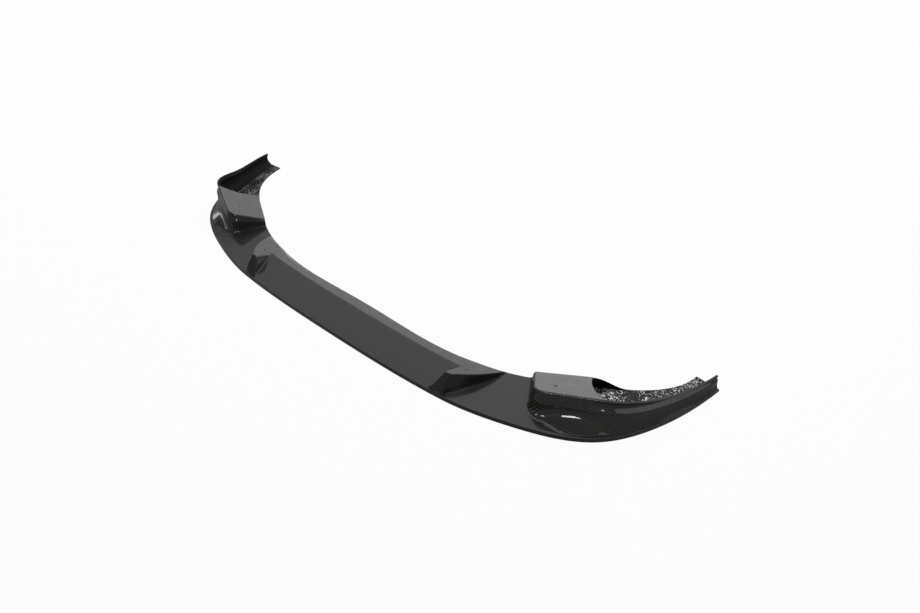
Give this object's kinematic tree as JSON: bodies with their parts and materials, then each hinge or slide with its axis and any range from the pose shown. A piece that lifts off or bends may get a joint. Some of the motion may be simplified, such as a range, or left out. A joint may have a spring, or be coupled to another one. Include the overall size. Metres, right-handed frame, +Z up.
{
  "type": "front splitter lip",
  "caption": "Thin moulded carbon-fibre lip that bows round a car's nose, with a seat band, blunt fins and a hollow raised pod at each corner running back to a walled tip.",
  "frame": {"origin": "middle of the bounding box, on the ground plane that the flat underside lies on", "axes": "+X across the car, +Y rearwards from the nose, +Z up"},
  "size_m": [1.864, 0.515, 0.1027],
  "materials": {
    "carbon": "clear-coated twill carbon-fibre laminate, satin on the seats"
  },
  "bodies": {
    "root": {"splitter_lip": "carbon"}
  },
  "joints": []
}
